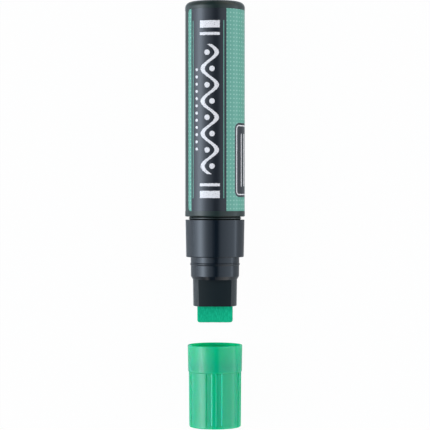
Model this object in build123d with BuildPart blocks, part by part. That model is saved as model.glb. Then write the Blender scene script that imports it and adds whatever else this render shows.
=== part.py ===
from build123d import *
import math
import os

os.makedirs("parts", exist_ok=True)

# Liquid chalk marker, lying on its side with the cap pulled off and in line with the nib.
# Lengths are in millimetres. A station is a length along the marker's axis, counted from the
# rear face. +X runs from the rear end to the nib, and +Z is up.

# Play that pieces share
push_fit = 0.02
slide_fit = 0.1
cut_overrun = 2.0

# Barrel tube and its neck
barrel_diameter = 25.2
barrel_wall = 1.4
tube_length = 86.8
front_band = 2.3
front_edge_radius = 0.45
neck_step = 1.5
neck_wall = 1.4
neck_gap = 1.32
neck_ring_width = 0.45
neck_groove_depth = 0.7

# Barbs that hold the front housing on the neck
barb_count = 2
barb_height = 0.25
barb_length = 1.2
barb_pitch = 3.0
barb_setback = 4.0

# Rear plug
plug_flange = 3.5
plug_spigot = 5.0
plug_wall = 1.5
plug_edge_radius = 2.4

# Label film, with the bare strip on the side towards -Y
label_thickness = 0.07
label_sink = 0.02
label_margin = 0.1
label_edge_angle = 62.0
label_bare_angle = 32.0
label_corner_radius = 1.5

# Front housing: the collar and the seat that the cap closes on
collar_length = 15.73
collar_inset = 0.13
collar_taper = 0.6
collar_rear_radius = 0.15
collar_front_radius = 0.35
front_wall = 2.2
seat_length = 9.45
seat_step = 1.895
seat_wall = 1.4
seat_taper = 0.2
seat_chamfer_length = 1.4
seat_chamfer_depth = 0.85
bead_setback = 3.0
bead_height = 0.22
bead_width = 1.25

# Nib: a felt block with a slanted end, as wide as its holder takes
nib_thickness = 6.5
nib_reach = 7.05
nib_tail = 0.4
nib_slant_angle = 20.0
nib_corner_radius = 1.0
nib_edge_radius = 0.6

# Nib holder
holder_length = 11.2
holder_corner_wall = 0.55
holder_shoulder = 0.45
holder_taper = 0.36
holder_flat_wall = 2.85
holder_edge_radius = 0.3

# Valve
press_travel = 2.5
gasket_thickness = 0.8
flange_thickness = 1.2
hub_length = 3.0
hub_rim = 1.2
port_gap = 0.8
cone_depth = 2.0
rod_diameter = 3.2
tail_diameter = 3.0
tail_overhang = 1.5
pusher_diameter = 9.0
pusher_thickness = 1.5
pusher_room = 0.5
head_thickness = 1.2
seal_land = 0.6
seal_play = 0.07

# Valve spring and the cage that holds it
spring_length = 10.2
spring_turns = 6
spring_play = 0.35
spring_seat_gap = 0.05
wire_diameter = 0.6
cage_wall = 1.0
cage_floor = 1.2
window_count = 4
window_width = 3.0
window_margin = 2.0

# Mixing ball
ball_diameter = 9.0
ball_play = 0.15

# Cap
cap_gap = 9.4
cap_home_gap = 0.2
cap_headroom = 5.5
cap_end_wall = 1.6
cap_fit = 0.1
cap_wall = 0.95
cap_lead_length = 1.2
cap_lead_depth = 0.28
cap_lip_share = 0.42
cap_band_length = 11.05
cap_band_taper = 0.4
cap_ledge_length = 0.3
cap_body_wall = 1.42
cap_body_taper = 0.36
cap_end_radius = 0.5
cap_bottom_radius = 0.8
cap_inner_gap = 0.35
groove_pair_count = 5
groove_first_angle = 2.4
groove_angle = 12.3
groove_land_angle = 10.0
groove_depth = 0.3
groove_edge_radius = 0.2

# Cap seal
cap_seal_length = 1.6
cap_seal_play = 0.15

# Stations
tube_rear = plug_flange
tube_front = tube_rear + tube_length
collar_rear = tube_front + neck_gap
neck_ring_rear = tube_front + (neck_gap - neck_ring_width) / 2
neck_ring_front = neck_ring_rear + neck_ring_width
collar_front = collar_rear + collar_length
seat_front = collar_front + seat_length
holder_front = seat_front + holder_length
nib_tip = holder_front + nib_reach
cap_mouth = nib_tip + cap_gap
cap_length = seat_length + holder_length + nib_reach + cap_headroom + cap_end_wall - cap_home_gap
cap_end = cap_mouth + cap_length

housing_floor = collar_front - front_wall
flange_rear = housing_floor - flange_thickness
neck_front = flange_rear - gasket_thickness
hub_rear = flange_rear - hub_length
pusher_rear = housing_floor + pusher_room + press_travel
nib_rear = pusher_rear + pusher_thickness
holder_rear = nib_rear + nib_tail
head_front = hub_rear - seal_play - seal_land
head_rear = head_front - head_thickness
cage_front = flange_rear
cage_floor_front = head_rear - spring_length
cage_rear = cage_floor_front - cage_floor
tail_rear = cage_rear - tail_overhang

# Radii
barrel_radius = barrel_diameter / 2
barrel_bore = barrel_radius - barrel_wall
label_seat = barrel_radius - label_sink - label_thickness - push_fit
neck_radius = barrel_radius - neck_step
neck_bore = neck_radius - neck_wall
neck_waist = neck_radius - neck_groove_depth
collar_bore = neck_radius + slide_fit
collar_rear_outer = barrel_radius - collar_inset
collar_front_outer = collar_rear_outer - collar_taper / 2
seat_rear_outer = collar_front_outer - seat_step
seat_front_outer = seat_rear_outer - seat_taper / 2
seat_bore = seat_rear_outer - seat_wall
spigot_radius = seat_bore - push_fit
slot_corner = spigot_radius - holder_corner_wall
slot_thickness = nib_thickness + 2 * slide_fit
slot_width = 2 * math.sqrt(slot_corner**2 - (slot_thickness / 2) ** 2)
nib_width = slot_width - 2 * slide_fit
holder_radius = seat_bore + holder_shoulder
holder_front_radius = holder_radius - holder_taper / 2
holder_flat = slot_thickness / 2 + holder_flat_wall
bead_radius = seat_rear_outer + bead_height
rod_radius = rod_diameter / 2
tail_radius = tail_diameter / 2
port_radius = rod_radius + port_gap
cone_radius = port_radius + cone_depth
hub_radius = cone_radius + hub_rim
cage_bore = hub_radius + push_fit
cage_radius = cage_bore + cage_wall
coil_radius = tail_radius + spring_play + wire_diameter / 2
ball_radius = ball_diameter / 2
cap_bore = bead_radius + cap_fit
cap_mouth_outer = cap_bore + cap_wall
cap_lead_bore = cap_bore + cap_lead_depth
cap_lip_radius = (cap_mouth_outer - cap_lead_bore) * cap_lip_share
cap_band_outer = cap_mouth_outer - cap_band_taper / 2
cap_inner_bore = holder_radius + cap_inner_gap
cap_body_outer = cap_inner_bore + cap_body_wall
cap_end_outer = cap_body_outer - cap_body_taper / 2

# The marker's axis lies one barrel radius above the floor, with the origin under its middle.
rear_x = -cap_end / 2
axis_height = barrel_radius
section = Plane(origin=(rear_x, 0, axis_height), x_dir=(1, 0, 0), z_dir=(0, -1, 0))
marker_axis = Axis(section.origin, (1, 0, 0))


def across(station):
    """The plane square to the marker's axis at a station, with its x along +Y."""
    return Plane(origin=(rear_x + station, 0, axis_height), x_dir=(0, 1, 0), z_dir=(1, 0, 0))


def facing(angle):
    """The plane through the marker's axis that faces an angle, counted from +Z towards -Y."""
    turn = math.radians(angle)
    return Plane(origin=section.origin, x_dir=(1, 0, 0), z_dir=(0, -math.sin(turn), math.cos(turn)))


def corner(profile, station, radius):
    """The corner of a profile that lies nearest to a station and a radius."""
    return profile.vertices().sort_by_distance((station, radius))[0]


def off_axis(edge):
    """How far the middle of an edge lies from the marker's axis."""
    middle = section.to_local_coords(edge.center())
    return math.hypot(middle.Y, middle.Z)


def finish(piece, name):
    """Labels a finished piece and writes it."""
    piece.part.label = name
    export_step(piece.part, f"parts/{name}.step")


barb_stations = [collar_rear + barb_setback + barb_pitch * index for index in range(barb_count)]

# Barrel: a tube open at the rear, with a seat for the label and a barbed neck. Where the neck shows, a narrow
# ring stands between two grooves.
with BuildPart() as barrel:
    with BuildSketch(section) as barrel_profile:
        Polygon(
            (tube_rear, barrel_bore),
            (tube_front - barrel_wall, barrel_bore),
            (tube_front - barrel_wall, neck_bore),
            (neck_front, neck_bore),
            (neck_front, neck_radius),
            (collar_rear, neck_radius),
            (collar_rear, neck_waist),
            (neck_ring_front, neck_waist),
            (neck_ring_front, neck_radius),
            (neck_ring_rear, neck_radius),
            (neck_ring_rear, neck_waist),
            (tube_front, neck_waist),
            (tube_front, barrel_radius),
            (tube_front - front_band, barrel_radius),
            (tube_front - front_band, label_seat),
            (tube_rear, label_seat),
            align=None,
        )
        fillet(corner(barrel_profile, tube_front, barrel_radius), radius=front_edge_radius)
    revolve(axis=marker_axis)
    for station in barb_stations:
        with BuildSketch(section):
            Polygon(
                (station, neck_radius - barb_height),
                (station, neck_radius + barb_height),
                (station + barb_length, neck_radius),
                (station + barb_length, neck_radius - barb_height),
                align=None,
            )
        revolve(axis=marker_axis)
finish(barrel, "barrel")

# Rear plug: a cup whose flange closes the tube and makes the barrel's rounded rear end
with BuildPart() as rear_plug:
    plug_outer = barrel_bore - push_fit
    plug_bore = plug_outer - plug_wall
    with BuildSketch(section) as plug_profile:
        Polygon(
            (0, 0),
            (0, barrel_radius),
            (plug_flange, barrel_radius),
            (plug_flange, plug_outer),
            (plug_flange + plug_spigot, plug_outer),
            (plug_flange + plug_spigot, plug_bore),
            (plug_wall, plug_bore),
            (plug_wall, 0),
            align=None,
        )
        fillet(corner(plug_profile, 0, barrel_radius), radius=plug_edge_radius)
    revolve(axis=marker_axis)
finish(rear_plug, "rear_plug")

# Label: film round most of the barrel, with rounded corners
with BuildPart() as label:
    label_inner = label_seat + push_fit
    label_rear = tube_rear + label_margin
    label_front = tube_front - front_band - label_margin
    with BuildSketch(section.rotated((label_edge_angle + label_bare_angle, 0, 0))):
        Polygon(
            (label_rear, label_inner),
            (label_front, label_inner),
            (label_front, label_inner + label_thickness),
            (label_rear, label_inner + label_thickness),
            align=None,
        )
    revolve(axis=marker_axis, revolution_arc=360 - label_bare_angle)
    corner_cut = label_corner_radius + cut_overrun
    for angle, side in ((label_edge_angle, Align.MAX), (label_edge_angle + label_bare_angle, Align.MIN)):
        inward = label_corner_radius if side == Align.MAX else -label_corner_radius
        with BuildSketch(facing(angle)):
            with Locations((label_rear + label_corner_radius, inward)):
                Rectangle(corner_cut, corner_cut, align=(Align.MAX, side))
                Circle(label_corner_radius, mode=Mode.SUBTRACT)
            with Locations((label_front - label_corner_radius, inward)):
                Rectangle(corner_cut, corner_cut, align=(Align.MIN, side))
                Circle(label_corner_radius, mode=Mode.SUBTRACT)
        extrude(amount=barrel_radius, mode=Mode.SUBTRACT)
finish(label, "label")

# Neck gasket: a flat ring on the end of the neck
with BuildPart() as neck_gasket:
    with BuildSketch(across(neck_front)):
        Circle(neck_radius)
        Circle(neck_bore, mode=Mode.SUBTRACT)
    extrude(amount=gasket_thickness)
finish(neck_gasket, "neck_gasket")

# Front housing: collar, front wall and cap seat in one moulding
with BuildPart() as front_housing:
    with BuildSketch(section) as housing_profile:
        Polygon(
            (collar_rear, collar_bore),
            (collar_rear, collar_rear_outer),
            (collar_front, collar_front_outer),
            (collar_front, seat_rear_outer),
            (seat_front - seat_chamfer_length, seat_front_outer),
            (seat_front, seat_front_outer - seat_chamfer_depth),
            (seat_front, seat_bore),
            (housing_floor, seat_bore),
            (housing_floor, collar_bore),
            align=None,
        )
        fillet(corner(housing_profile, collar_rear, collar_rear_outer), radius=collar_rear_radius)
        fillet(corner(housing_profile, collar_front, collar_front_outer), radius=collar_front_radius)
    revolve(axis=marker_axis)
    bead_station = collar_front + bead_setback
    bead_root = seat_front_outer
    with BuildSketch(section):
        with BuildLine():
            ThreePointArc(
                (bead_station - bead_width / 2, bead_root),
                (bead_station, bead_radius),
                (bead_station + bead_width / 2, bead_root),
            )
            Line((bead_station + bead_width / 2, bead_root), (bead_station - bead_width / 2, bead_root))
        make_face()
    revolve(axis=marker_axis)
    for station in barb_stations:
        with BuildSketch(section):
            Polygon(
                (station - slide_fit, collar_bore - barb_height),
                (station - slide_fit, collar_bore + barb_height),
                (station + barb_length + slide_fit, collar_bore + barb_height),
                (station + barb_length + slide_fit, collar_bore - barb_height),
                align=None,
            )
        revolve(axis=marker_axis, mode=Mode.SUBTRACT)
finish(front_housing, "front_housing")

# Nib holder: a spigot in the seat, a shoulder, two flats and a slot for the nib
with BuildPart() as nib_holder:
    with BuildSketch(section) as holder_profile:
        Polygon(
            (holder_rear, 0),
            (holder_rear, spigot_radius),
            (seat_front, spigot_radius),
            (seat_front, holder_radius),
            (holder_front, holder_front_radius),
            (holder_front, 0),
            align=None,
        )
        fillet(corner(holder_profile, holder_front, holder_front_radius), radius=holder_edge_radius)
    revolve(axis=marker_axis)
    with BuildSketch(across(seat_front)):
        with Locations((0, holder_flat), (0, -holder_flat - holder_radius)):
            Rectangle(2 * holder_radius, holder_radius, align=(Align.CENTER, Align.MIN))
    extrude(amount=holder_length + cut_overrun, mode=Mode.SUBTRACT)
    with BuildSketch(across(holder_rear)):
        Rectangle(slot_width, slot_thickness)
    extrude(amount=holder_front - holder_rear, mode=Mode.SUBTRACT)
finish(nib_holder, "nib_holder")

# Nib: longest on its upper face, with the end slanted back towards the floor
with BuildPart() as nib:
    nib_length = nib_tip - nib_rear
    upper_face = Plane(
        origin=(rear_x + nib_rear, 0, axis_height + nib_thickness / 2), x_dir=(1, 0, 0), z_dir=(0, 0, -1)
    )
    with BuildSketch(upper_face) as nib_outline:
        Rectangle(nib_length, nib_width, align=(Align.MIN, Align.CENTER))
        fillet(nib_outline.vertices().group_by(Axis.X)[-1], radius=nib_corner_radius)
    extrude(amount=nib_thickness)
    slant = math.radians(nib_slant_angle)
    slant_plane = Plane(
        origin=(rear_x + nib_tip, 0, axis_height + nib_thickness / 2),
        x_dir=(0, 1, 0),
        z_dir=(math.cos(slant), 0, -math.sin(slant)),
    )
    split(bisect_by=slant_plane, keep=Keep.BOTTOM)
    fillet(nib.edges().filter_by(Axis.X), radius=nib_edge_radius)
finish(nib, "nib")

# Valve seat: a flange clamped on the neck gasket, with a conical port in its hub
with BuildPart() as valve_seat:
    with BuildSketch(section):
        Polygon(
            (housing_floor, port_radius),
            (housing_floor, neck_radius),
            (flange_rear, neck_radius),
            (flange_rear, hub_radius),
            (hub_rear, hub_radius),
            (hub_rear, cone_radius),
            (hub_rear + cone_depth, port_radius),
            align=None,
        )
    revolve(axis=marker_axis)
finish(valve_seat, "valve_seat")

# Valve rod: a pusher behind the nib, a stem through the port, a head and a guide tail
with BuildPart() as valve_rod:
    with BuildSketch(section):
        Polygon(
            (tail_rear, 0),
            (tail_rear, tail_radius),
            (head_rear, tail_radius),
            (head_rear, cone_radius),
            (head_front, cone_radius),
            (head_front, rod_radius),
            (pusher_rear, rod_radius),
            (pusher_rear, pusher_diameter / 2),
            (nib_rear, pusher_diameter / 2),
            (nib_rear, 0),
            align=None,
        )
    revolve(axis=marker_axis)
finish(valve_rod, "valve_rod")

# Valve seal: a soft cone on the stem, in front of the head
with BuildPart() as valve_seal:
    with BuildSketch(section):
        Polygon(
            (head_front, rod_radius + push_fit),
            (head_front, cone_radius),
            (head_front + seal_land, cone_radius),
            (head_front + seal_land + cone_depth, port_radius),
            (head_front + seal_land + cone_depth, rod_radius + push_fit),
            align=None,
        )
    revolve(axis=marker_axis)
finish(valve_seal, "valve_seal")

# Spring cage: a cup on the seat's hub, with windows for the ink and a hole for the rod's tail
with BuildPart() as spring_cage:
    with BuildSketch(section):
        Polygon(
            (cage_rear, tail_radius + slide_fit),
            (cage_rear, cage_radius),
            (cage_front, cage_radius),
            (cage_front, cage_bore),
            (cage_floor_front, cage_bore),
            (cage_floor_front, tail_radius + slide_fit),
            align=None,
        )
    revolve(axis=marker_axis)
    window_rear = cage_floor_front + window_margin
    window_front = hub_rear - window_margin
    for index in range(window_count):
        with BuildSketch(section.rotated((360 * index / window_count, 0, 0))):
            with Locations(((window_rear + window_front) / 2, 0)):
                Rectangle(window_front - window_rear, window_width)
        extrude(amount=cage_radius + cut_overrun, mode=Mode.SUBTRACT)
finish(spring_cage, "spring_cage")

# Valve spring: a helix round the rod's tail, drawn as two arcs for each quarter turn
coil_rear = cage_floor_front + spring_seat_gap + wire_diameter / 2
coil_front = head_rear - spring_seat_gap - wire_diameter / 2
coil_pitch = (coil_front - coil_rear) / spring_turns
quarter_turns = 4 * spring_turns


def coil_point(turn):
    """The middle of the wire after a number of turns."""
    angle = 2 * math.pi * turn
    height = axis_height + coil_radius * math.sin(angle)
    return Vector(rear_x + coil_rear + coil_pitch * turn, coil_radius * math.cos(angle), height)


def coil_direction(turn):
    """The way that the wire runs after a number of turns."""
    angle = 2 * math.pi * turn
    around = 2 * math.pi * coil_radius
    return Vector(coil_pitch, -around * math.sin(angle), around * math.cos(angle)).normalized()


with BuildPart() as valve_spring:
    with BuildLine() as coil:
        for quarter in range(quarter_turns):
            start, end = coil_point(quarter / 4), coil_point((quarter + 1) / 4)
            leaving, arriving = coil_direction(quarter / 4), coil_direction((quarter + 1) / 4)
            chord = end - start
            bend = 2 * (1 - leaving.dot(arriving))
            along = chord.dot(leaving + arriving)
            reach = (math.sqrt(along**2 + bend * chord.dot(chord)) - along) / bend
            first_handle = start + leaving * reach
            second_handle = end - arriving * reach
            middle = (first_handle + second_handle) * (1 / 2)
            TangentArc(start, middle, tangent=leaving)
            TangentArc(middle, end, tangent=second_handle - first_handle)
    with BuildSketch(Plane(origin=coil_point(0), z_dir=coil_direction(0))):
        Circle(wire_diameter / 2)
    sweep(path=coil.wires()[0])
finish(valve_spring, "valve_spring")

samples = [coil_point(quarter / 8) for quarter in range(2 * quarter_turns + 1)]
far_pairs = [(a - b).length for i, a in enumerate(samples) for b in samples[i + 4 :]]
print("least gap between the spring's turns:", round(min(far_pairs) - wire_diameter, 3))

# Mixing ball: loose on the lower side of the tube, midway between the plug and the cage
with BuildPart() as mixing_ball:
    ball_station = (plug_flange + plug_spigot + cage_rear) / 2
    ball_height = axis_height - barrel_bore + ball_radius + ball_play
    ball_plane = Plane(origin=(rear_x + ball_station, 0, ball_height), x_dir=(1, 0, 0), z_dir=(0, -1, 0))
    with BuildSketch(ball_plane):
        with BuildLine():
            ThreePointArc((-ball_radius, 0), (0, ball_radius), (ball_radius, 0))
            Line((ball_radius, 0), (-ball_radius, 0))
        make_face()
    revolve(axis=Axis(ball_plane.origin, (1, 0, 0)))
finish(mixing_ball, "mixing_ball")

# Cap: a stepped cup with a smooth band at its mouth and pairs of grip grooves to its closed end
cap_step = cap_mouth + seat_length + cap_seal_length - seat_chamfer_length
cap_floor = cap_end - cap_end_wall
ledge_rear = cap_mouth + cap_band_length
ledge_front = ledge_rear + cap_ledge_length
with BuildPart() as cap:
    with BuildSketch(section) as cap_profile:
        Polygon(
            (cap_mouth, cap_lead_bore),
            (cap_mouth, cap_mouth_outer),
            (ledge_rear, cap_band_outer),
            (ledge_front, cap_body_outer),
            (cap_end, cap_end_outer),
            (cap_end, 0),
            (cap_floor, 0),
            (cap_floor, cap_inner_bore),
            (cap_step, cap_inner_bore),
            (cap_step, cap_bore),
            (cap_mouth + cap_lead_length, cap_bore),
            align=None,
        )
        fillet(corner(cap_profile, cap_mouth, cap_mouth_outer), radius=cap_lip_radius)
        fillet(corner(cap_profile, cap_mouth, cap_lead_bore), radius=cap_lip_radius)
        fillet(corner(cap_profile, cap_end, cap_end_outer), radius=cap_end_radius)
        fillet(corner(cap_profile, cap_floor, cap_inner_bore), radius=cap_bottom_radius)
    revolve(axis=marker_axis)
    pair_step = 360 / groove_pair_count
    pair_turns = [groove_first_angle + pair_step * index for index in range(groove_pair_count)]
    groove_turns = [turn + groove_land_angle / 2 for turn in pair_turns]
    groove_turns += [turn - groove_land_angle / 2 - groove_angle for turn in pair_turns]
    for turn in groove_turns:
        with BuildSketch(section.rotated((turn, 0, 0))):
            Polygon(
                (ledge_front, cap_body_outer - groove_depth),
                (ledge_front, cap_body_outer + cut_overrun),
                (cap_end + cut_overrun, cap_end_outer + cut_overrun),
                (cap_end + cut_overrun, cap_end_outer - groove_depth),
                (cap_end, cap_end_outer - groove_depth),
                align=None,
            )
        revolve(axis=marker_axis, revolution_arc=groove_angle, mode=Mode.SUBTRACT)
    long_edges = cap.edges().filter_by(lambda edge: abs((edge @ 1 - edge @ 0).X) > cap_length / 2)
    land_edges = long_edges.sort_by(off_axis)[-2 * len(groove_turns) :]
    fillet(land_edges, radius=groove_edge_radius)
finish(cap, "cap")

# Cap seal: a soft ring on the cap's inner step, coned to match the seat's chamfer
with BuildPart() as cap_seal:
    seal_outer = cap_bore - push_fit
    seal_slope = seat_chamfer_length / seat_chamfer_depth
    chamfer_start = cap_mouth + seat_length - seat_chamfer_length - cap_home_gap + cap_seal_play
    with BuildSketch(section):
        Polygon(
            (cap_step, cap_inner_bore),
            (cap_step, seal_outer),
            (chamfer_start - (seal_outer - seat_front_outer) * seal_slope, seal_outer),
            (chamfer_start + (seat_front_outer - cap_inner_bore) * seal_slope, cap_inner_bore),
            align=None,
        )
    revolve(axis=marker_axis)
finish(cap_seal, "cap_seal")
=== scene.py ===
"""Looks of a liquid chalk marker that lies on a pale floor with its cap pulled off in line.

Everything is in metres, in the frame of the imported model: +X runs along the marker from its rear
end to its nib, +Z is up, and the label's printed face looks up at the camera.
"""

import logging
import math
from dataclasses import dataclass
from enum import Enum
from typing import Any, Protocol

import bmesh
import bpy
from mathutils import Matrix, Vector, noise


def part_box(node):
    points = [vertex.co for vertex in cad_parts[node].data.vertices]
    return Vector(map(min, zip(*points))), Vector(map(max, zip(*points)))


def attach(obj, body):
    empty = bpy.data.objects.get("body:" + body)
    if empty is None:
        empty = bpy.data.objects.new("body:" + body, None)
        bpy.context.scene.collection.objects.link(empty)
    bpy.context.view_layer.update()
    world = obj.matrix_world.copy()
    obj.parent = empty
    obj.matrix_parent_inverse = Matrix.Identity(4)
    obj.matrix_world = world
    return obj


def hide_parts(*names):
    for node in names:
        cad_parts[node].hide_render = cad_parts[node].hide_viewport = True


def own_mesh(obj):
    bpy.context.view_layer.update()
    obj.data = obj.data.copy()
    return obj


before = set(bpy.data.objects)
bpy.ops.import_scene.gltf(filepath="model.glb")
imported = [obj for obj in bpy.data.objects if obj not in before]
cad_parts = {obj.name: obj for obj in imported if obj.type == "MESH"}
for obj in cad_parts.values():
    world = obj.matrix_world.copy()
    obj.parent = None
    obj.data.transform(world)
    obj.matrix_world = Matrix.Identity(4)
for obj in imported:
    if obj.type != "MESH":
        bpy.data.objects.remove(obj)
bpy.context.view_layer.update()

log = logging.getLogger("chalk_marker")

Tree = bpy.types.NodeTree
Node = bpy.types.Node
Socket = bpy.types.NodeSocket

MM = 0.001
# Points closer than this are welded, and a cut this close to a point goes through it, in metres.
WELD = 1e-7
CUT = 1e-8
# Edges that turn by more than this stay crisp.
CRISP = math.radians(40.0)


def linear(hex_colour: str) -> tuple[float, float, float, float]:
    """Turns an sRGB hex colour into the linear colour that a shader takes.

    Args:
        hex_colour: Six hex digits.

    Returns:
        Linear red, green and blue, with an alpha of 1.
    """
    shares = [int(hex_colour[start : start + 2], 16) / 255 for start in (0, 2, 4)]
    red, green, blue = (s / 12.92 if s <= 0.04045 else ((s + 0.055) / 1.055) ** 2.4 for s in shares)
    return red, green, blue, 1.0


def add(tree: Tree, kind: str, inputs: dict[Any, Any] | None = None, **settings: Any) -> Node:
    """Adds a node with its settings and links.

    Args:
        tree: The node tree that gets the node.
        kind: The node's type.
        inputs: Its inputs by name or number. A socket is linked, anything else is set as a value.
        **settings: The node's own properties.

    Returns:
        The new node.
    """
    node = tree.nodes.new(kind)
    for name, value in settings.items():
        setattr(node, name, value)
    for key, value in (inputs or {}).items():
        if isinstance(value, bpy.types.NodeSocket):
            tree.links.new(value, node.inputs[key])
        else:
            node.inputs[key].default_value = value
    return node


def calc(tree: Tree, operation: str, *values: Any) -> Socket:
    """Adds a Math node with its inputs in order, and gives its result."""
    return add(tree, "ShaderNodeMath", dict(enumerate(values)), operation=operation).outputs[0]


def vector_calc(tree: Tree, operation: str, *values: Any) -> Socket:
    """Adds a Vector Math node with its inputs in order, and gives its result."""
    node = add(tree, "ShaderNodeVectorMath", dict(enumerate(values)), operation=operation)
    return node.outputs["Value" if operation == "LENGTH" else "Vector"]


def mix(tree: Tree, share: Any, first: Any, second: Any) -> Socket:
    """Adds a node that goes from the first colour to the second, and gives the colour."""
    return add(tree, "ShaderNodeMix", {0: share, 6: first, 7: second}, data_type="RGBA").outputs[2]


def ranged(tree: Tree, value: Socket, start: tuple[Any, Any], to: tuple[Any, Any] = (0.0, 1.0)) -> Socket:
    """Adds a node that maps one range of values to another, and gives the new value."""
    inputs = {"Value": value, 1: start[0], 2: start[1], 3: to[0], 4: to[1]}
    return add(tree, "ShaderNodeMapRange", inputs).outputs["Result"]


def speckle(tree: Tree, place: Socket, size: float, detail: float = 2.0) -> Node:
    """Adds a cloudy pattern of the given size, in the place's own unit."""
    return add(tree, "ShaderNodeTexNoise", {"Vector": place, "Scale": 1 / size, "Detail": detail})


def relief(tree: Tree, height: Socket, depth: float, under: Socket | None = None) -> Socket:
    """Adds a node that shades a height as relief.

    Args:
        tree: The node tree that gets the node.
        height: The height, as a share of the depth.
        depth: The depth in metres.
        under: The normal of the relief below it, or None for none.

    Returns:
        The new normal.
    """
    inputs: dict[Any, Any] = {"Height": height, "Distance": depth}
    if under is not None:
        inputs["Normal"] = under
    return add(tree, "ShaderNodeBump", inputs).outputs["Normal"]


def ramp(tree: Tree, share: Socket, stops: list[tuple[float, tuple[float, ...]]], curve: str) -> Socket:
    """Adds a colour ramp.

    Args:
        tree: The node tree that gets the node.
        share: Where on the ramp to read, from 0 to 1.
        stops: Place and linear colour of each stop, in order.
        curve: How it goes from stop to stop.

    Returns:
        The colour.
    """
    node = add(tree, "ShaderNodeValToRGB", {0: share})
    node.color_ramp.interpolation = curve
    marks = node.color_ramp.elements
    while len(marks) < len(stops):
        marks.new(1.0)
    for mark, (place, colour) in zip(marks, stops):
        mark.position = place
        mark.color = (*colour, 1.0)
    return node.outputs["Color"]


def new_material(name: str) -> tuple[bpy.types.Material, Tree, Node]:
    """Makes a material that holds only a Principled shader.

    Args:
        name: The material's name.

    Returns:
        The material, its node tree and its Principled node.
    """
    material = bpy.data.materials.new(name)
    material.use_nodes = True
    tree = material.node_tree
    tree.nodes.clear()
    shader = add(tree, "ShaderNodeBsdfPrincipled")
    add(tree, "ShaderNodeOutputMaterial", {"Surface": shader.outputs["BSDF"]})
    return material, tree, shader


def new_piece(name: str, shape: bmesh.types.BMesh, smooth: bool) -> bpy.types.Object:
    """Turns a finished shape into an object at the origin.

    Args:
        name: The piece's name.
        shape: The shape, which is used up.
        smooth: Whether its faces are shaded as one smooth surface.

    Returns:
        The new object.
    """
    for face in shape.faces:
        face.smooth = smooth
    mesh = bpy.data.meshes.new(name)
    shape.to_mesh(mesh)
    shape.free()
    piece = bpy.data.objects.new(name, mesh)
    bpy.context.scene.collection.objects.link(piece)
    return piece


def slice_shape(shape: bmesh.types.BMesh, axis: Vector, places: list[float]) -> None:
    """Cuts a shape by parallel planes, so that it has rows of points there.

    Args:
        shape: The shape to cut.
        axis: The planes' normal, which is one of the frame's axes.
        places: How far along that axis each plane lies.
    """
    for place in places:
        parts = [*shape.verts, *shape.edges, *shape.faces]
        bmesh.ops.bisect_plane(shape, geom=parts, dist=CUT, plane_co=axis * place, plane_no=axis)


def spread(low: float, high: float, count: int) -> list[float]:
    """Places that divide a length evenly, without its two ends."""
    return [low + (high - low) * step / count for step in range(1, count)]


@dataclass(frozen=True)
class MouldedPlastic:
    """Injection-moulded plastic: one even colour, a sheen, and the fine grain of the mould's steel.

    Attributes:
        name: The material's name.
        colour: Its colour, as sRGB hex.
        roughness: Mean roughness.
        roughness_drift: How far the roughness strays either way.
        colour_drift: How far the brightness strays either way, as a share.
        grain: Size of the surface grain in millimetres.
        grain_depth: Depth of the grain in millimetres.
        flow: Size of the cloudy drift in colour and sheen, in millimetres.
        ior: Index of refraction.
        specular: Strength of the mirror image, 0.5 for a clean surface.
        gloss_tint: Colour of the mirror image, as linear red, green and blue.
        glow: Share of the light that spreads inside the plastic, and how far in millimetres.
        glow_spread: How far red, green and blue light spread, as shares of that.
        crown: Radius of the swell that the mould leaves across its flats in millimetres, or None.
    """

    name: str
    colour: str
    roughness: float
    roughness_drift: float = 0.03
    colour_drift: float = 0.06
    grain: float = 0.35
    grain_depth: float = 0.001
    flow: float = 9.0
    ior: float = 1.45
    specular: float = 0.5
    gloss_tint: tuple[float, float, float] = (1.0, 1.0, 1.0)
    glow: tuple[float, float] = (0.0, 1.0)
    glow_spread: tuple[float, float, float] = (0.3, 1.0, 0.6)
    crown: float | None = None

    def build(self) -> bpy.types.Material:
        """Makes the material."""
        material, tree, shader = new_material(self.name)
        place = add(tree, "ShaderNodeTexCoord").outputs["Object"]
        cloud = speckle(tree, place, self.flow * MM, detail=3.0).outputs["Fac"]
        grain = speckle(tree, place, self.grain * MM).outputs["Fac"]
        red, green, blue, alpha = linear(self.colour)
        dark, pale = (
            (red * share, green * share, blue * share, alpha)
            for share in (1 - self.colour_drift, 1 + self.colour_drift)
        )
        sheen = (self.roughness - self.roughness_drift, self.roughness + self.roughness_drift)
        normal = relief(tree, grain, self.grain_depth * MM)
        if self.crown is not None:
            side = add(tree, "ShaderNodeSeparateXYZ", {0: place}).outputs[1]
            square = calc(tree, "MULTIPLY", side, side)
            normal = relief(tree, calc(tree, "MULTIPLY", square, -0.5 / (self.crown * MM)), 1.0, normal)
        tree.links.new(mix(tree, cloud, dark, pale), shader.inputs["Base Color"])
        tree.links.new(ranged(tree, cloud, (0.0, 1.0), sheen), shader.inputs["Roughness"])
        tree.links.new(normal, shader.inputs["Normal"])
        shader.inputs["IOR"].default_value = self.ior
        shader.inputs["Subsurface Weight"].default_value = self.glow[0]
        shader.inputs["Subsurface Scale"].default_value = self.glow[1] * MM
        shader.inputs["Subsurface Radius"].default_value = self.glow_spread
        shader.inputs["Specular IOR Level"].default_value = self.specular
        shader.inputs["Specular Tint"].default_value = (*self.gloss_tint, 1.0)
        return material


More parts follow.
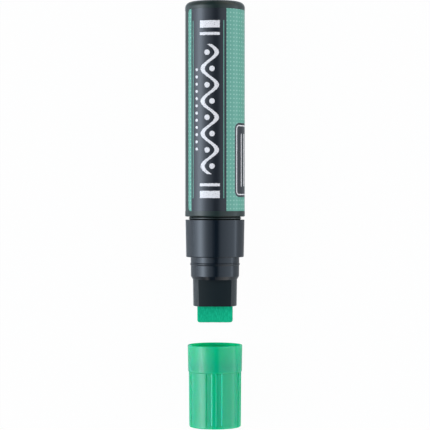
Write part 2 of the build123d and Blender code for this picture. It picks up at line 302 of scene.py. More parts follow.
@dataclass(frozen=True)
class GroovedCap:
    """The cap's moulding: soft shoulders on its grip grooves with painted highlight lines along them, and
    the dull print of the core inside.

    Attributes:
        moulding: The plastic.
        pairs: How many pairs of grooves go round the cap.
        first_angle: Where a pair begins, in degrees from the top towards +Y.
        edges: How far each edge of the pair's two grooves lies from there in degrees.
        shoulder: Half the width of a shoulder in degrees.
        depth: How far a shoulder falls in millimetres.
        painted_highlight_colour: Colour of the painted highlight lines along the shoulders, as sRGB hex.
        painted_highlight: How strongly each shoulder's highlight line is painted, as shares.
        lit_side: Heights over the axis between which the painted highlight sets in, in millimetres, on the
            upper side.
        reach: Distances from the mouth between which the grooves run, in millimetres.
        core: Radii in millimetres that part inside from outside, at the mouth and the closed end.
        core_length: How far the inside reaches from the mouth, in millimetres.
        core_roughness: Roughness of the inside.
        core_specular: Strength of the mirror image on the inside.
    """

    moulding: MouldedPlastic
    pairs: int = 5
    first_angle: float = -19.7
    edges: tuple[float, float, float, float] = (0.0, 12.3, 22.3, 34.6)
    shoulder: float = 1.6
    depth: float = 0.25
    painted_highlight_colour: str = "00EBB8"
    painted_highlight: tuple[float, float, float, float] = (0.0, 1.0, 0.7, 1.0)
    lit_side: tuple[float, float] = (5.0, 10.0)
    reach: tuple[float, float] = (11.35, 33.0)
    core: tuple[float, float] = (11.0, 10.2)
    core_length: float = 33.5
    core_roughness: float = 0.7
    core_specular: float = 0.06

    @property
    def name(self) -> str:
        """The material's name."""
        return self.moulding.name

    def build(self) -> bpy.types.Material:
        """Makes the material."""
        material = self.moulding.build()
        tree = material.node_tree
        shader = next(node for node in tree.nodes if node.type == "BSDF_PRINCIPLED")
        low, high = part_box("cap")
        place = add(tree, "ShaderNodeTexCoord").outputs["Object"]
        spot = vector_calc(tree, "SUBTRACT", place, (low.x, 0.0, (low.z + high.z) / 2))
        self.soften(tree, shader, spot)
        self.dull(tree, shader, spot)
        return material

    def soften(self, tree: Tree, shader: Node, spot: Socket) -> None:
        """Rounds the grooves' shoulders and paints pale highlight lines along them on the upper side.

        Args:
            tree: The cap's node tree.
            shader: Its Principled node.
            spot: The place, measured from the middle of the cap's mouth.
        """
        along, side, height = add(tree, "ShaderNodeSeparateXYZ", {0: spot}).outputs
        step = 2 * math.pi / self.pairs
        half = self.shoulder
        lead = math.radians(2 * half - self.first_angle)
        angle = calc(tree, "ADD", calc(tree, "ARCTAN2", side, height), lead)
        share = calc(tree, "DIVIDE", calc(tree, "FLOORED_MODULO", angle, step), step)
        sides = (((1.0, -half), (0.0, half)), ((0.0, -half), (1.0, half))) * (len(self.edges) // 2)
        fall = [(edge + shift, level) for edge, pair in zip(self.edges, sides) for level, shift in pair]
        # Stops of the painted highlight lines along the shoulders.
        highlight_stops = [
            (edge + shift, level)
            for edge, painted_highlight in zip(self.edges, self.painted_highlight)
            for shift, level in ((-half, 0.0), (0.0, painted_highlight), (half, 0.0))
        ]
        crest, highlight_share = (
            ramp(
                tree,
                share,
                [(math.radians(degrees + 2 * half) / step, (level,) * 3) for degrees, level in stops],
                "EASE",
            )
            for stops in (fall, highlight_stops)
        )
        start, end = (distance * MM for distance in self.reach)
        ribbed = calc(tree, "COMPARE", along, (start + end) / 2, (end - start) / 2)
        crest = calc(tree, "MAXIMUM", crest, calc(tree, "SUBTRACT", 1.0, ribbed))
        grain = shader.inputs["Normal"].links[0].from_socket
        tree.links.new(relief(tree, crest, self.depth * MM, grain), shader.inputs["Normal"])
        # Painted highlight: the shoulders' pale lines are laid on the upper side only, where the light
        # falls.
        lit_side = ranged(tree, height, (self.lit_side[0] * MM, self.lit_side[1] * MM), (0.0, ribbed))
        colour = shader.inputs["Base Color"].links[0].from_socket
        tint = mix(tree, calc(tree, "MULTIPLY", highlight_share, lit_side), colour, linear(self.painted_highlight_colour))
        tree.links.new(tint, shader.inputs["Base Color"])

    def dull(self, tree: Tree, shader: Node, spot: Socket) -> None:
        """Takes the gloss off the inside.

        Args:
            tree: The cap's node tree.
            shader: Its Principled node.
            spot: The place, measured from the middle of the cap's mouth.
        """
        along = add(tree, "ShaderNodeSeparateXYZ", {0: spot}).outputs[0]
        radius = vector_calc(tree, "LENGTH", vector_calc(tree, "MULTIPLY", spot, (0.0, 1.0, 1.0)))
        length = self.core_length * MM
        wall = ranged(tree, along, (0.0, length), (self.core[0] * MM, self.core[1] * MM))
        within = calc(tree, "LESS_THAN", radius, wall)
        inside = calc(tree, "MULTIPLY", within, calc(tree, "LESS_THAN", along, length))
        gloss = shader.inputs["Roughness"].links[0].from_socket
        sheen = add(tree, "ShaderNodeMix", {0: inside, 2: gloss, 3: self.core_roughness})
        tree.links.new(sheen.outputs[0], shader.inputs["Roughness"])
        mirror = add(tree, "ShaderNodeMix", {0: inside, 2: self.moulding.specular, 3: self.core_specular})
        tree.links.new(mirror.outputs[0], shader.inputs["Specular IOR Level"])


@dataclass(frozen=True)
class Felt:
    """Pressed polyester felt soaked with ink: a dull, deep colour broken up by short pale fibres.

    Attributes:
        name: The material's name.
        deep: Colour between the fibres, as sRGB hex.
        pale: Colour of the fibres that stand up, as sRGB hex.
        fibre: Width of a fibre in millimetres.
        stretch: Length of a fibre over its width.
        turns: How the two coats of fibres are turned, in radians about x, y and z.
        cover: Levels of the pattern between which the colour goes from deep to pale.
        depth: Depth of the surface in millimetres.
        firmness: How much of that depth shades, as a share.
        roughness: Its roughness.
        specular: Strength of the mirror image.
    """

    name: str
    deep: str
    pale: str
    # Real fibres are about a tenth as wide, which the render is too coarse to show.
    fibre: float = 0.38
    stretch: float = 4.0
    turns: tuple[tuple[float, float, float], ...] = ((0.3, 0.2, 0.5), (0.3, 0.2, 2.1))
    cover: tuple[float, float] = (0.42, 0.78)
    depth: float = 0.05
    firmness: float = 0.6
    roughness: float = 0.85
    specular: float = 0.1

    def build(self) -> bpy.types.Material:
        """Makes the material."""
        material, tree, shader = new_material(self.name)
        place = add(tree, "ShaderNodeTexCoord").outputs["Object"]
        slim = (1 / self.stretch, 1.0, 1.0)
        coats = []
        for turn in self.turns:
            lie = add(tree, "ShaderNodeMapping", {"Vector": place, "Rotation": turn, "Scale": slim})
            coats.append(speckle(tree, lie.outputs[0], self.fibre * MM).outputs["Fac"])
        mat = calc(tree, "MAXIMUM", *coats)
        colour = mix(tree, ranged(tree, mat, self.cover), linear(self.deep), linear(self.pale))
        nap = {"Height": mat, "Distance": self.depth * MM, "Strength": self.firmness}
        bump = add(tree, "ShaderNodeBump", nap)
        tree.links.new(colour, shader.inputs["Base Color"])
        tree.links.new(bump.outputs["Normal"], shader.inputs["Normal"])
        shader.inputs["Roughness"].default_value = self.roughness
        shader.inputs["Specular IOR Level"].default_value = self.specular
        return material


@dataclass(frozen=True)
class Steel:
    """Bright steel: a grey mirror softened by the fine lines that drawing or tumbling leaves.

    Attributes:
        name: The material's name.
        colour: Its colour, as sRGB hex.
        roughness: Mean roughness.
        drift: How far the roughness strays either way, as a share.
        line: Width of the fine lines in millimetres.
        line_depth: Depth of the lines in millimetres.
    """

    name: str
    colour: str
    roughness: float
    drift: float = 0.3
    line: float = 0.08
    line_depth: float = 0.0006

    def build(self) -> bpy.types.Material:
        """Makes the material."""
        material, tree, shader = new_material(self.name)
        place = add(tree, "ShaderNodeTexCoord").outputs["Object"]
        lines = speckle(tree, place, self.line * MM, detail=3.0).outputs["Fac"]
        sheen = (self.roughness * (1 - self.drift), self.roughness * (1 + self.drift))
        tree.links.new(ranged(tree, lines, (0.0, 1.0), sheen), shader.inputs["Roughness"])
        tree.links.new(relief(tree, lines, self.line_depth * MM), shader.inputs["Normal"])
        shader.inputs["Base Color"].default_value = linear(self.colour)
        shader.inputs["Metallic"].default_value = 1.0
        return material


class Ink(Enum):
    """Inks of the label, as sRGB hex."""

    MINT = "62A691"
    PALE_MINT = "8EC4B2"
    SLATE = "1F2329"
    CHALK = "EAE5E4"


class Motif(Protocol):
    """A printed shape: it knows its ink and where it lies on the flat label."""

    ink: Ink

    def mask(self, tree: Tree, u: Socket, v: Socket) -> Socket:
        """Adds the nodes that are 1 inside the shape and 0 outside.

        Args:
            tree: The label's node tree.
            u: Millimetres round the barrel from the line that faces up.
            v: Millimetres along the label from its rear edge.

        Returns:
            The mask.
        """


@dataclass(frozen=True)
class Bar:
    """A straight bar.

    Attributes:
        ink: Its ink.
        middle: Its middle as u, v in millimetres.
        half: Its half sizes along u, v in millimetres.
    """

    ink: Ink
    middle: tuple[float, float]
    half: tuple[float, float]

    def mask(self, tree: Tree, u: Socket, v: Socket) -> Socket:
        """Adds the nodes that are 1 inside the bar and 0 outside.

        Args:
            tree: The label's node tree.
            u: Millimetres round the barrel from the line that faces up.
            v: Millimetres along the label from its rear edge.

        Returns:
            The mask.
        """
        across = calc(tree, "COMPARE", u, self.middle[0], self.half[0])
        along = calc(tree, "COMPARE", v, self.middle[1], self.half[1])
        return calc(tree, "MULTIPLY", across, along)


@dataclass(frozen=True)
class Panel:
    """A panel with round corners, or only a line that runs inside its edge.

    Attributes:
        ink: Its ink.
        middle: Its middle as u, v in millimetres.
        half: Its half sizes along u, v in millimetres.
        corner: Its corner radius in millimetres.
        line: The line's distance from the edge and half width in millimetres, or None for a full panel.
    """

    ink: Ink
    middle: tuple[float, float]
    half: tuple[float, float]
    corner: float
    line: tuple[float, float] | None = None

    def mask(self, tree: Tree, u: Socket, v: Socket) -> Socket:
        """Adds the nodes that are 1 on the panel or its line and 0 elsewhere.

        Args:
            tree: The label's node tree.
            u: Millimetres round the barrel from the line that faces up.
            v: Millimetres along the label from its rear edge.

        Returns:
            The mask.
        """
        spot = add(tree, "ShaderNodeCombineXYZ", {0: u, 1: v}).outputs[0]
        fold = vector_calc(tree, "ABSOLUTE", vector_calc(tree, "SUBTRACT", spot, (*self.middle, 0.0)))
        core = (self.half[0] - self.corner, self.half[1] - self.corner, 0.0)
        past = vector_calc(tree, "SUBTRACT", fold, core)
        clear = vector_calc(tree, "MAXIMUM", past, (0.0, 0.0, 0.0))
        reach = vector_calc(tree, "LENGTH", clear)
        if self.line is None:
            return calc(tree, "LESS_THAN", reach, self.corner)
        inset, half_width = self.line
        return calc(tree, "COMPARE", reach, self.corner - inset, half_width)


@dataclass(frozen=True)
class Wave:
    """A wavy line along the label with a dot in each of its bays.

    Attributes:
        ink: Its ink.
        middle: The middle of the wave as u, v in millimetres.
        half_length: Half its length in millimetres.
        swing: How far it swings to either side in millimetres.
        period: Length of one whole wave in millimetres.
        half_width: Half the line's width in millimetres, or 0 for the dots alone.
        dot: Radius of the dots in millimetres.
        setback: How far across the middle from its bend each dot lies, as a share of the swing.
    """

    ink: Ink
    middle: tuple[float, float]
    half_length: float
    swing: float
    period: float
    half_width: float
    dot: float
    setback: float = 0.35

    def mask(self, tree: Tree, u: Socket, v: Socket) -> Socket:
        """Adds the nodes that are 1 on the line and the dots and 0 elsewhere.

        Args:
            tree: The label's node tree.
            u: Millimetres round the barrel from the line that faces up.
            v: Millimetres along the label from its rear edge.

        Returns:
            The mask.
        """
        along = calc(tree, "SUBTRACT", v, self.middle[1] - self.half_length)
        rise = calc(tree, "SINE", calc(tree, "MULTIPLY", along, 2 * math.pi / self.period))
        path = calc(tree, "MULTIPLY_ADD", rise, self.swing, self.middle[0])
        line = calc(tree, "COMPARE", u, path, self.half_width)
        side = calc(tree, "SIGN", rise)
        home = calc(tree, "MULTIPLY_ADD", side, -self.setback * self.swing, self.middle[0])
        bay = calc(tree, "FLOORED_MODULO", along, self.period / 2)
        dot_u = calc(tree, "SUBTRACT", u, home)
        dot_v = calc(tree, "SUBTRACT", bay, self.period / 4)
        spot = add(tree, "ShaderNodeCombineXYZ", {0: dot_u, 1: dot_v}).outputs[0]
        dots = calc(tree, "LESS_THAN", vector_calc(tree, "LENGTH", spot), self.dot)
        span = calc(tree, "COMPARE", v, self.middle[1], self.half_length)
        return calc(tree, "MULTIPLY", calc(tree, "MAXIMUM", line, dots), span)


@dataclass(frozen=True)
class Dots:
    """A field of small dots in straight rows.

    Attributes:
        ink: Its ink.
        pitch: Distance between dots in millimetres.
        dot: Radius of a dot in millimetres.
    """

    ink: Ink
    pitch: float
    dot: float

    def mask(self, tree: Tree, u: Socket, v: Socket) -> Socket:
        """Adds the nodes that are 1 on the dots and 0 elsewhere.

        Args:
            tree: The label's node tree.
            u: Millimetres round the barrel from the line that faces up.
            v: Millimetres along the label from its rear edge.

        Returns:
            The mask.
        """
        spot = add(tree, "ShaderNodeCombineXYZ", {0: u, 1: v}).outputs[0]
        rows = {"Vector": spot, "Scale": 1 / self.pitch, "Randomness": 0.0}
        field = add(tree, "ShaderNodeTexVoronoi", rows, voronoi_dimensions="2D")
        return calc(tree, "LESS_THAN", field.outputs["Distance"], self.dot / self.pitch)


@dataclass(frozen=True)
class PrintedFilm:
    """Printed gloss film: flat inks under a clear coat, the white ones broken like chalk strokes.

    Attributes:
        name: The material's name.
        ground: Ink of the whole film.
        printed: Shapes with clean edges, from the lowest up.
        chalked: Shapes with rough, dusty edges, over the printed ones.
        roughness: Roughness of the film.
        ior: Index of refraction.
        chalk_grain: Size of the chalk's grain in millimetres.
        chalk_fray: How far the chalk's edges stray in millimetres.
        chalk_cover: Levels of the grain between which the chalk starts to cover.
        ripple: Size of the film's ripples in millimetres.
        ripple_depth: Depth of the ripples in millimetres.
    """

    name: str
    ground: Ink
    printed: tuple[Motif, ...]
    chalked: tuple[Motif, ...]
    roughness: float = 0.22
    ior: float = 1.45
    chalk_grain: float = 0.35
    chalk_fray: float = 0.5
    chalk_cover: tuple[float, float] = (0.3, 0.42)
    ripple: float = 5.0
    ripple_depth: float = 0.004

    def build(self) -> bpy.types.Material:
        """Makes the material, which reads the label's flat place in millimetres from its map."""
        material, tree, shader = new_material(self.name)
        flat = add(tree, "ShaderNodeUVMap", uv_map=LabelFilm.MAP).outputs[0]
        clean = add(tree, "ShaderNodeSeparateXYZ", {0: flat})
        dust = speckle(tree, flat, self.chalk_grain, detail=3.0)
        centred = vector_calc(tree, "SUBTRACT", dust.outputs["Color"], (0.5, 0.5, 0.5))
        frayed = vector_calc(tree, "MULTIPLY_ADD", centred, (self.chalk_fray,) * 3, flat)
        rough = add(tree, "ShaderNodeSeparateXYZ", {0: frayed})
        cover = ranged(tree, dust.outputs["Fac"], self.chalk_cover)
        colour: Any = linear(self.ground.value)
        for motif in self.printed:
            mask = motif.mask(tree, clean.outputs[0], clean.outputs[1])
            colour = mix(tree, mask, colour, linear(motif.ink.value))
        for motif in self.chalked:
            mask = motif.mask(tree, rough.outputs[0], rough.outputs[1])
            colour = mix(tree, calc(tree, "MULTIPLY", mask, cover), colour, linear(motif.ink.value))
        swell = speckle(tree, flat, self.ripple, detail=1.0).outputs["Fac"]
        tree.links.new(colour, shader.inputs["Base Color"])
        tree.links.new(relief(tree, swell, self.ripple_depth * MM), shader.inputs["Normal"])
        shader.inputs["Roughness"].default_value = self.roughness
        shader.inputs["IOR"].default_value = self.ior
        return material


@dataclass(frozen=True)
class Finishes:
    """Every finish of the marker."""

    # Pigmented polypropylene, satin: a soft, broad highlight on charcoal.
    barrel = MouldedPlastic("barrel_plastic", "162725", 0.3, gloss_tint=(1.05, 1.0, 0.93))
    # Black polypropylene from a polished mould: a narrower, brighter streak than on the barrel.
    housing = MouldedPlastic("housing_plastic", "06121B", 0.16, roughness_drift=0.02)
    # The same black plastic from a spark-eroded mould: duller flats.
    holder = MouldedPlastic(
        "holder_plastic",
        "131E22",
        0.25,
        grain=0.25,
        grain_depth=0.002,
        gloss_tint=(1.05, 1.0, 0.9),
        crown=75.0,
    )
    # Green polypropylene, half gloss: a clear colour that stays bright in the shade.
    cap = GroovedCap(
        MouldedPlastic(
            "cap_plastic",
            "00BA86",
            0.12,
            roughness_drift=0.02,
            colour_drift=0.03,
            gloss_tint=(1.0, 0.65, 0.78),
            glow=(1.0, 4.5),
        )
    )
    # Nitrile rubber: dull black with a dusty look.
    rubber = MouldedPlastic("seal_rubber", "181817", 0.62, grain=0.2, grain_depth=0.006)
    # Near-black foam for the rings in the neck's grooves, which stand in as painted shade: it swallows
    # nearly all light.
    neck_shade = MouldedPlastic(
        "neck_painted_shade",
        "060707",
        0.9,
        roughness_drift=0.05,
        grain=0.15,
        grain_depth=0.01,
        specular=0.1,
    )
    # Natural acetal: milky white and smooth.
    valve = MouldedPlastic("valve_plastic", "E2E0D6", 0.38, colour_drift=0.02)
    # Pressed polyester felt full of green ink: dull and deep, with short pale fibres.
    nib = Felt("nib_felt", "06A879", "1CC894")
    # Drawn spring wire: grey, with fine lines.
    spring = Steel("spring_steel", "9C9C99", 0.3)
    # Polished bearing ball: a clean mirror.
    ball = Steel("ball_steel", "B5B6B8", 0.08, line_depth=0.0001)
    # Polypropylene film, printed and glossy.
    film = PrintedFilm(
        "label_film",
        Ink.MINT,
        printed=(
            Dots(Ink.PALE_MINT, 1.7, 0.32),
            Bar(Ink.SLATE, (-3.2, 42.0), (8.1, 60.0)),
            Bar(Ink.MINT, (3.7, 42.0), (0.17, 37.0)),
            Bar(Ink.MINT, (-10.2, 42.0), (0.17, 37.0)),
            Panel(Ink.SLATE, (17.0, 63.0), (8.0, 15.5), 2.6),
        ),
        chalked=(
            Wave(Ink.CHALK, (-2.3, 42.0), 27.0, 3.0, 13.5, 0.95, 1.15),
            Wave(Ink.CHALK, (-8.2, 42.0), 18.0, 0.0, 6.0, 0.0, 0.62),
            Bar(Ink.CHALK, (-2.3, 6.6), (4.3, 1.5)),
            Bar(Ink.CHALK, (-2.3, 10.6), (4.3, 0.6)),
            Bar(Ink.CHALK, (-2.3, 73.4), (4.3, 0.6)),
            Bar(Ink.CHALK, (-2.3, 77.4), (4.3, 1.5)),
            Panel(Ink.CHALK, (17.0, 63.0), (8.0, 15.5), 2.6, line=(1.1, 0.25)),
            Bar(Ink.CHALK, (13.4, 63.0), (0.3, 11.0)),
            Bar(Ink.CHALK, (16.4, 63.0), (0.65, 11.0)),
            Bar(Ink.CHALK, (20.4, 63.0), (1.2, 11.0)),
        ),
    )


@dataclass
class LabelFilm:
    """The printed film that is wrapped round the barrel, with a bare strip between its two edges.

    Attributes:
        first_angle: Angle of the edge at the photo's left, in degrees from the top towards +Y.
        sweep: How far the film reaches round the barrel in degrees.
        film: The film's thickness in millimetres.
        corner: Radius of its corners in millimetres.
        corner_steps: Steps in each of those.
        cuts: How many strips the film is rolled in.
    """

    MAP = "print"

    first_angle: float = -62.0
    sweep: float = 328.0
    film: float = 0.07
    corner: float = 1.5
    corner_steps: int = 6
    cuts: int = 164

    def build(self, finish: PrintedFilm) -> bpy.types.Object:
        """Makes the film flat, maps it in millimetres and rolls it round the barrel.

        Args:
            finish: The film's finish.

        Returns:
            The label.
        """
        low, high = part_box("label")
        radius = (high.z - low.z) / 2
        axis_height = (high.z + low.z) / 2
        start = radius * math.radians(self.first_angle)
        width = radius * math.radians(self.sweep)
        shape = bmesh.new()
        bmesh.ops.create_grid(shape, x_segments=1, y_segments=1, size=0.5)
        bmesh.ops.scale(shape, vec=Vector((high.x - low.x, width, 1.0)), verts=shape.verts)
        bmesh.ops.translate(
            shape, vec=Vector(((low.x + high.x) / 2, start + width / 2, 0.0)), verts=shape.verts
        )
        bmesh.ops.bevel(
            shape,
            geom=shape.verts[:],
            offset=self.corner * MM,
            segments=self.corner_steps,
            profile=0.5,
            affect="VERTICES",
            material=-1,
        )
        slice_shape(shape, Vector((0.0, 1.0, 0.0)), spread(start, start + width, self.cuts))
        flat = shape.loops.layers.uv.new(self.MAP)
        for face in shape.faces:
            for loop in face.loops:
                loop[flat].uv = (loop.vert.co.y / MM, (loop.vert.co.x - low.x) / MM)
        for vert in shape.verts:
            angle = vert.co.y / radius
            vert.co = Vector((vert.co.x, radius * math.sin(angle), axis_height + radius * math.cos(angle)))
        bmesh.ops.recalc_face_normals(shape, faces=shape.faces)
        axis = Vector((0.0, 0.0, axis_height))
        if sum(face.normal.dot(face.calc_center_median() - axis) for face in shape.faces) < 0:
            bmesh.ops.reverse_faces(shape, faces=shape.faces)
        label = new_piece("label_film", shape, smooth=True)
        label.modifiers.new("film", "SOLIDIFY").thickness = self.film * MM
        label.modifiers.new("crisp_edges", "EDGE_SPLIT").split_angle = CRISP
        label.data.materials.append(finish.build())
        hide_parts("label")
        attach(label, "barrel")
        return label


@dataclass
class NeckShade:
    """Two near-black rings in the grooves of the neck: painted shade that shows as dark lines behind the
    collar.

    Attributes:
        gap: Width of the gap between barrel and collar in millimetres.
        ring: Width of the neck's bare ring between the two grooves in millimetres.
        groove: Depth of the grooves below that ring in millimetres.
        fill: How much of that depth they fill, as a share.
        play: Room round each ring in millimetres.
        steps: Steps in one turn.
    """

    gap: float = 1.32
    ring: float = 0.45
    groove: float = 0.7
    fill: float = 0.55
    play: float = 0.01
    steps: int = 128

    def build(self, finish: MouldedPlastic) -> bpy.types.Object:
        """Spins two small sections round the marker's axis.

        Args:
            finish: The near-black finish of the painted shade.

        Returns:
            Both rings as one piece.
        """
        low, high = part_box("neck_gasket")
        axis = Vector((0.0, 0.0, (low.z + high.z) / 2))
        floor = (high.z - low.z) / 2 - self.groove * MM
        inner, outer = floor + self.play * MM, floor + self.fill * self.groove * MM
        width = (self.gap - self.ring) / 2
        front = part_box("front_housing")[0].x
        shape = bmesh.new()
        for start in (front - self.gap * MM, front - width * MM):
            rear, fore = start + self.play * MM, start + (width - self.play) * MM
            square = bmesh.ops.create_grid(shape, x_segments=1, y_segments=1, size=0.5)["verts"]
            middle = axis + Vector(((rear + fore) / 2, 0.0, (inner + outer) / 2))
            upright = Matrix.Rotation(math.pi / 2, 4, "X")
            size = Matrix.Diagonal((fore - rear, outer - inner, 1.0, 1.0))
            bmesh.ops.transform(shape, matrix=Matrix.Translation(middle) @ upright @ size, verts=square)
            face = square[0].link_faces[0]
            outline = [*face.verts, *face.edges]
            bmesh.ops.delete(shape, geom=[face], context="FACES_ONLY")
            bmesh.ops.spin(
                shape,
                geom=outline,
                cent=axis,
                axis=Vector((1.0, 0.0, 0.0)),
                angle=2 * math.pi,
                steps=self.steps,
                use_merge=True,
            )
        bmesh.ops.remove_doubles(shape, verts=shape.verts, dist=WELD)
        bmesh.ops.recalc_face_normals(shape, faces=shape.faces)
        # These near-black rings are painted shade: they darken the gap between barrel and collar.
        shade_rings = new_piece("neck_shade_rings", shape, smooth=True)
        shade_rings.modifiers.new("crisp_edges", "EDGE_SPLIT").split_angle = CRISP
        shade_rings.data.materials.append(finish.build())
        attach(shade_rings, "barrel")
        return shade_rings


@dataclass
class FeltNib:
    """The block of pressed felt, cut at a slant, with soft edges and an uneven face.

    Attributes:
        slant: Slant of the writing end in degrees.
        corner: Radius of the writing end's two corners in millimetres.
        corner_steps: Steps in each of those.
        edge: Radius of its other edges in millimetres.
        edge_steps: Steps in each of those.
        mesh: Distance between points on the part that shows, in millimetres.
        swell: How far its surface strays in millimetres.
        lump: Size of the unevenness in millimetres.
    """

    slant: float = 20.0
    corner: float = 1.0
    corner_steps: int = 6
    edge: float = 0.5
    edge_steps: int = 3
    mesh: float = 0.4
    swell: float = 0.05
    lump: float = 0.7

    def build(self, finish: Felt) -> bpy.types.Object:
        """Makes the block from a cube.

        Args:
            finish: The felt's finish.

        Returns:
            The nib.
        """
        low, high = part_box("nib")
        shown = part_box("nib_holder")[1].x
        shape = bmesh.new()
        bmesh.ops.create_cube(shape, size=1.0)
        bmesh.ops.scale(shape, vec=high - low, verts=shape.verts)
        bmesh.ops.translate(shape, vec=(high + low) / 2, verts=shape.verts)
        for vert in shape.verts:
            if vert.co.x > shown and vert.co.z < (low.z + high.z) / 2:
                vert.co.x -= (high.z - low.z) * math.tan(math.radians(self.slant))
        tips = [
            edge
            for edge in shape.edges
            if all(vert.co.x > shown and vert.co.y * edge.verts[0].co.y > 0 for vert in edge.verts)
        ]
        for radius, segments in ((self.corner, self.corner_steps), (self.edge, self.edge_steps)):
            bmesh.ops.bevel(
                shape,
                geom=tips,
                offset=radius * MM,
                segments=segments,
                profile=0.5,
                affect="EDGES",
                material=-1,
            )
            tips = [edge for edge in shape.edges if edge.calc_face_angle(0.0) > CRISP]
        step = self.mesh * MM
        for axis, start, first, last in (
            ((1.0, 0.0, 0.0), shown - step, shown, high.x),
            ((0.0, 1.0, 0.0), low.y, low.y, high.y),
            ((0.0, 0.0, 1.0), low.z, low.z, high.z),
        ):
            slice_shape(shape, Vector(axis), spread(start, last, round((last - first) / step)))
        bmesh.ops.remove_doubles(shape, verts=shape.verts, dist=WELD)
        bmesh.ops.recalc_face_normals(shape, faces=shape.faces)
        shape.normal_update()
        for vert in shape.verts:
            if vert.co.x > shown:
                stray = noise.noise(vert.co / (self.lump * MM)) - 1.0
                vert.co += vert.normal * stray * self.swell * MM
        nib = new_piece("felt_nib", shape, smooth=True)
        nib.data.materials.append(finish.build())
        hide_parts("nib")
        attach(nib, "nib")
        return nib


@dataclass
class ValveSpring:
    """The coil spring that shuts the valve, wound from round wire with closed ends.

    Attributes:
        wire: Diameter of the wire in millimetres.
        coils: Turns between the two closed ends.
        closed: Turns of each closed end.
        steps: Steps in one turn.
        sides: Sides of the wire.
    """

    wire: float = 0.6
    coils: float = 4.5
    closed: float = 0.9
    steps: int = 36
    sides: int = 10

    def build(self, finish: Steel) -> bpy.types.Object:
        """Winds the wire with three spins: closed end, open coils, closed end.

        Args:
            finish: The wire's finish.

        Returns:
            The spring.
        """
        low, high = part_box("valve_spring")
        wire = self.wire * MM
        axis = Vector((0.0, 0.0, (low.z + high.z) / 2))
        coil = (high.z - low.z - wire) / 2
        shape = bmesh.new()
        ring = bmesh.ops.create_circle(shape, cap_ends=True, radius=wire / 2, segments=self.sides)
        place = Matrix.Translation(Vector((low.x + wire / 2, 0.0, axis.z + coil)))
        upright = Matrix.Rotation(math.pi / 2, 4, "X")
        bmesh.ops.transform(shape, matrix=place @ upright, verts=ring["verts"])
        end = [*ring["verts"], *shape.edges, *shape.faces]
        open_length = high.x - low.x - wire - 2 * self.closed * wire
        for turns, length in (
            (self.closed, self.closed * wire),
            (self.coils, open_length),
            (self.closed, self.closed * wire),
        ):
            steps = round(turns * self.steps)
            spun = bmesh.ops.spin(
                shape,
                geom=end,
                cent=axis,
                axis=Vector((1.0, 0.0, 0.0)),
                dvec=Vector((length / steps, 0.0, 0.0)),
                angle=turns * 2 * math.pi,
                steps=steps,
            )
            end = spun["geom_last"]
        bmesh.ops.recalc_face_normals(shape, faces=shape.faces)
        spring = new_piece("wire_spring", shape, smooth=True)
        spring.data.materials.append(finish.build())
        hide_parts("valve_spring")
        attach(spring, "barrel")
        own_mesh(spring)
        return spring


@dataclass
class Marker:
    """The marker's moulded pieces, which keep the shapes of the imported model.

    Attributes:
        finishes: The finishes they get.
    """

    finishes: Finishes

    def dress(self) -> None:
        """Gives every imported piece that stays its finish."""
        for finish, names in (
            (self.finishes.barrel, ("barrel", "rear_plug")),
            (self.finishes.housing, ("front_housing",)),
            (self.finishes.holder, ("nib_holder",)),
            (self.finishes.cap, ("cap",)),
            (self.finishes.rubber, ("neck_gasket", "valve_seal", "cap_seal")),
            (self.finishes.valve, ("valve_seat", "valve_rod", "spring_cage")),
            (self.finishes.ball, ("mixing_ball",)),
        ):
            material = finish.build()
            for name in names:
                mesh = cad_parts[name].data
                mesh.materials.clear()
                mesh.materials.append(material)
                log.info("%s has its %s", name, finish.name)


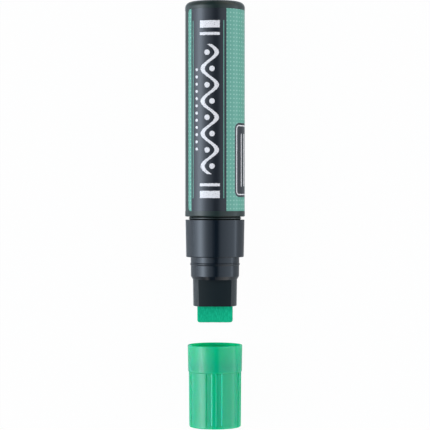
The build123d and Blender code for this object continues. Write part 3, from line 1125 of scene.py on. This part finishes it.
@dataclass
class Studio:
    """A light tent round a white table, seen from straight above through a long lens.

    Attributes:
        lens: Focal length in millimetres.
        sensor: Width of the sensor in millimetres.
        sight: How far the camera sees in metres.
        above: Where the camera hangs, as x and height in metres.
        aim: Where it looks, as x and height in metres.
        belt: Brightness of the tent's sides by angle from straight up, in degrees towards +Y.
        belt_tint: Colour of the sides' cool lamps, as linear red, green and blue.
        dome: The same for the tent's cover beyond the sides, which fills the shade.
        dome_tint: Colour of the cover's warm lamps, as linear red, green and blue.
        dome_reach: Slopes along the marker between which the sides give way to the cover.
        ends: Brightness of the tent's two end walls.
        ends_reach: Slopes between which the cover gives way to them.
        table: Half the table's side in metres.
        table_colour: The table's colour, as sRGB hex.
        table_roughness: The table's roughness.
        glow: How much of the table's whiteness is the backdrop's own.
    """

    lens: float = 142.3
    sensor: float = 36.0
    sight: float = 50.0
    above: tuple[float, float] = (-0.0062, 0.7308)
    aim: tuple[float, float] = (0.00013, 0.0126)
    belt: tuple[tuple[float, float], ...] = (
        (-120.0, 1.42),
        (-99.0, 2.2),
        (-87.0, 2.55),
        (-77.0, 3.56),
        (-68.0, 5.21),
        (-60.0, 6.4),
        (-53.0, 5.21),
        (-45.0, 3.32),
        (-36.0, 1.93),
        (-24.0, 1.07),
        (-12.0, 0.73),
        (-7.0, 0.22),
        (-3.0, 0.08),
        (11.0, 0.08),
        (15.0, 0.4),
        (20.0, 0.85),
        (27.0, 1.11),
        (40.0, 1.33),
        (60.0, 1.67),
        (72.0, 1.75),
        (82.0, 2.0),
        (90.0, 3.0),
        (120.0, 1.42),
    )
    belt_tint: tuple[float, float, float] = (0.87, 1.0, 1.16)
    dome: tuple[tuple[float, float], ...] = (
        (-90.0, 0.5),
        (-75.0, 0.6),
        (-64.0, 1.3),
        (-57.0, 1.3),
        (-48.0, 0.3),
        (-38.0, 0.1),
        (-5.0, 0.1),
        (25.0, 0.6),
        (50.0, 1.1),
        (90.0, 1.8),
    )
    dome_tint: tuple[float, float, float] = (1.02, 1.0, 0.98)
    dome_reach: tuple[float, float] = (0.2, 0.4)
    ends: float = 0.1
    ends_reach: tuple[float, float] = (0.93, 1.0)
    table: float = 4.0
    table_colour: str = "E6E6E6"
    table_roughness: float = 0.08
    glow: float = 0.975

    def hang_camera(self) -> None:
        """Hangs the camera over the marker, with the marker's rear end up in the picture."""
        lens = bpy.data.cameras.new("camera")
        lens.lens = self.lens
        lens.sensor_width = self.sensor
        lens.clip_end = self.sight
        camera = bpy.data.objects.new("camera", lens)
        place = Vector((self.above[0], 0.0, self.above[1]))
        back = (place - Vector((self.aim[0], 0.0, self.aim[1]))).normalized()
        right = Vector((0.0, 1.0, 0.0))
        up = back.cross(right)
        turn = Matrix((right, up, back)).transposed().to_4x4()
        camera.matrix_world = Matrix.Translation(place) @ turn
        bpy.context.scene.collection.objects.link(camera)
        bpy.context.scene.camera = camera

    def light(self) -> None:
        """Makes the tent: dark over the camera, a bright strip at the left and a paler wall at the right."""
        world = bpy.data.worlds.new("light_tent")
        world.use_nodes = True
        tree = world.node_tree
        tree.nodes.clear()
        heading = add(tree, "ShaderNodeTexCoord").outputs["Generated"]
        parts = add(tree, "ShaderNodeSeparateXYZ", {0: heading})
        angle = calc(tree, "ARCTAN2", parts.outputs[1], parts.outputs[2])
        share = ranged(tree, angle, (-math.pi, math.pi))
        slope = calc(tree, "ABSOLUTE", parts.outputs[0])
        top = max(level for _, level in self.belt)
        walls = []
        for stops, tint in ((self.belt, self.belt_tint), (self.dome, self.dome_tint)):
            marks = [
                (degrees / 360 + 0.5, tuple(level / top * part for part in tint))
                for degrees, level in stops
            ]
            walls.append(ramp(tree, share, marks, "LINEAR"))
        walls.append((self.ends / top, self.ends / top, self.ends / top, 1.0))
        glow = walls[0]
        for (near, far), wall in zip((self.dome_reach, self.ends_reach), walls[1:]):
            beyond = add(
                tree,
                "ShaderNodeMapRange",
                {"Value": slope, 1: near, 2: far},
                interpolation_type="SMOOTHSTEP",
            )
            glow = mix(tree, beyond.outputs["Result"], glow, wall)
        tent = add(tree, "ShaderNodeBackground", {"Color": glow, "Strength": top})
        white = add(tree, "ShaderNodeBackground", {"Color": linear("FFFFFF"), "Strength": 1.0})
        seen = add(tree, "ShaderNodeLightPath").outputs["Is Camera Ray"]
        shown = add(tree, "ShaderNodeMixShader", {0: seen, 1: tent.outputs[0], 2: white.outputs[0]})
        add(tree, "ShaderNodeOutputWorld", {"Surface": shown.outputs[0]})
        bpy.context.scene.world = world

    def lay_table(self) -> bpy.types.Object:
        """Lays the white table under the marker.

        Returns:
            The table.
        """
        shape = bmesh.new()
        bmesh.ops.create_grid(shape, x_segments=1, y_segments=1, size=self.table)
        table = new_piece("white_table", shape, smooth=False)
        # White acrylic sheet: it takes a faint shadow, and the backdrop's own white lights it from below.
        material, tree, shader = new_material("white_sheet")
        shader.inputs["Base Color"].default_value = linear(self.table_colour)
        shader.inputs["Roughness"].default_value = self.table_roughness
        seen = add(tree, "ShaderNodeLightPath").outputs["Is Camera Ray"]
        share = calc(tree, "MULTIPLY", seen, self.glow)
        white = add(tree, "ShaderNodeEmission", {"Color": linear("FFFFFF"), "Strength": 1.0})
        both = add(
            tree, "ShaderNodeMixShader", {0: share, 1: shader.outputs["BSDF"], 2: white.outputs[0]}
        )
        exit_node = next(node for node in tree.nodes if node.type == "OUTPUT_MATERIAL")
        tree.links.new(both.outputs[0], exit_node.inputs["Surface"])
        table.data.materials.append(material)
        return table


def main() -> None:
    """Builds the looks piece by piece, then the studio round them."""
    logging.basicConfig(level=logging.INFO, format="%(name)s: %(message)s")
    finishes = Finishes()
    Marker(finishes).dress()
    log.info("%s wraps the barrel", LabelFilm().build(finishes.film).name)
    log.info("%s lie in the neck's grooves", NeckShade().build(finishes.neck_shade).name)
    log.info("%s fills the holder's slot", FeltNib().build(finishes.nib).name)
    log.info("%s sits behind the valve", ValveSpring().build(finishes.spring).name)
    studio = Studio()
    studio.hang_camera()
    studio.light()
    log.info("%s lies under the marker", studio.lay_table().name)
    bpy.context.scene.view_settings.view_transform = "Standard"


if __name__ == "__main__":
    main()
